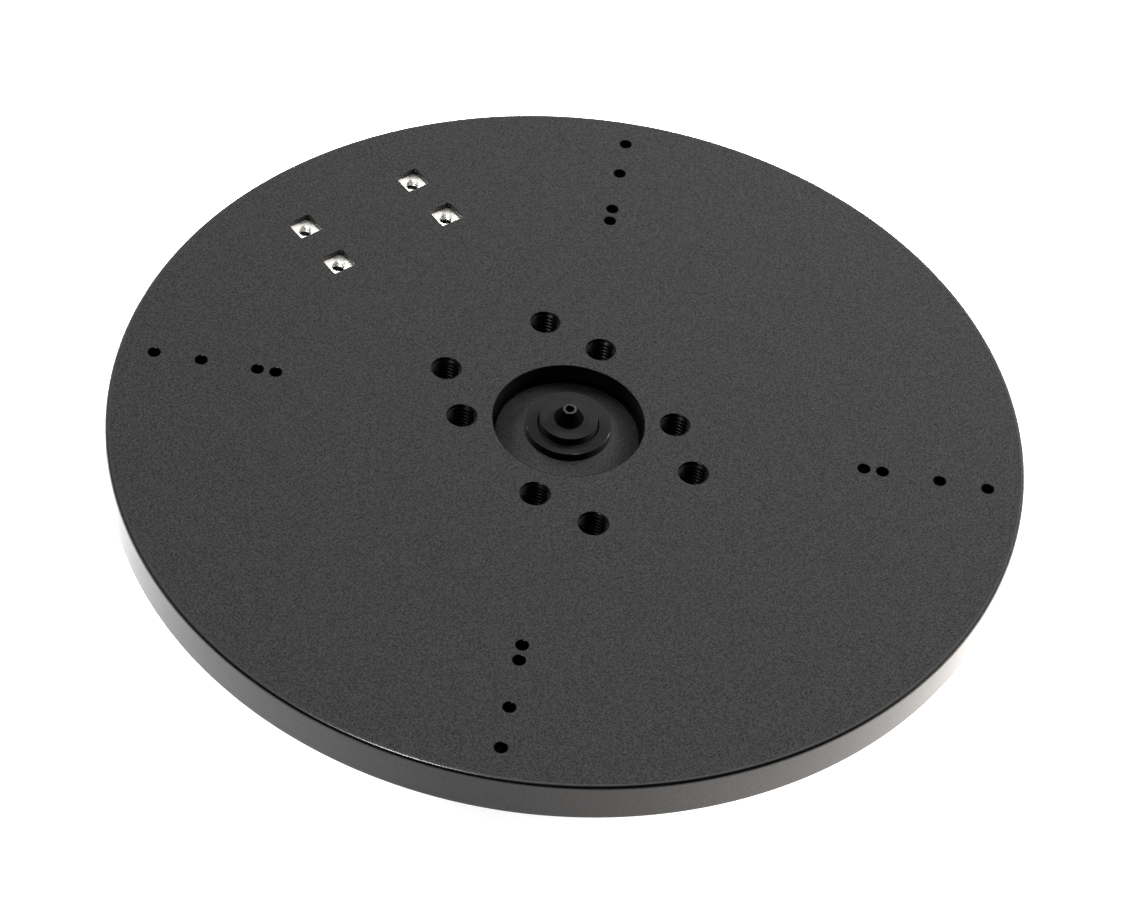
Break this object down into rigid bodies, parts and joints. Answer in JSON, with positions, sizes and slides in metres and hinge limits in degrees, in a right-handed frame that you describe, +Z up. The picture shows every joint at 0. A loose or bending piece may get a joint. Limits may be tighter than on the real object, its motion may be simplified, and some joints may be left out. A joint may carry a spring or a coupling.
{
  "type": "banding wheel",
  "caption": "Low-profile banding wheel: a black anodised round head with hole patterns, on a spindle that turns in ball bearings in a heavy round base.",
  "frame": {"origin": "on the wheel's axis, at the surface that the feet stand on", "axes": "+Z up the axis; X and Y along the sides of the rectangular hole patterns, +Y towards the square nuts"},
  "size_m": [0.296, 0.296, 0.0723],
  "materials": {
    "black_anodised": "fine satin, black anodised",
    "blackened_steel": "turned, black oxide",
    "bearing_steel": "ground",
    "polished_steel": "polished",
    "zinc_steel": "zinc plated",
    "brass": "machined",
    "felt": "pressed wool felt",
    "cast_iron_black": "black powder coat",
    "rubber": "matte"
  },
  "bodies": {
    "base": {"base_plate": "cast_iron_black", "bearing_housing": "black_anodised", "housing_screws": "blackened_steel", "upper_bearing_outer_ring": "bearing_steel", "upper_bearing_shields": "zinc_steel", "lower_bearing_outer_ring": "bearing_steel", "lower_bearing_shields": "zinc_steel", "retaining_ring": "blackened_steel", "felt_seal": "felt", "bottom_cover": "zinc_steel", "cover_screws": "zinc_steel", "foot_1": "rubber", "foot_2": "rubber", "foot_3": "rubber", "foot_4": "rubber", "foot_screws": "zinc_steel"},
    "head": {"wheel_head": "black_anodised", "square_nuts": "zinc_steel", "hub_flange": "black_anodised", "head_screws": "blackened_steel", "spindle": "blackened_steel", "upper_bearing_inner_ring": "bearing_steel", "lower_bearing_inner_ring": "bearing_steel", "bearing_spacer": "bearing_steel", "tab_washer": "zinc_steel", "lock_nut": "blackened_steel"},
    "upper_ball_set": {"upper_bearing_balls": "polished_steel", "upper_bearing_cage": "brass"},
    "lower_ball_set": {"lower_bearing_balls": "polished_steel", "lower_bearing_cage": "brass"}
  },
  "joints": [
    {"name": "head_spin", "type": "hinge", "parent": "base", "child": "head", "pos_m": [0, 0, 0.0335], "axis": [0, 0, 1], "continuous": true},
    {"name": "upper_balls_turn", "type": "hinge", "parent": "base", "child": "upper_ball_set", "pos_m": [0, 0, 0.0335], "axis": [0, 0, 1], "continuous": true},
    {"name": "lower_balls_turn", "type": "hinge", "parent": "base", "child": "lower_ball_set", "pos_m": [0, 0, 0.0195], "axis": [0, 0, 1], "continuous": true}
  ],
  "couplings": [
    {"joint": "upper_balls_turn", "follows": "head_spin", "ratio": 0.4165},
    {"joint": "lower_balls_turn", "follows": "head_spin", "ratio": 0.4165}
  ]
}
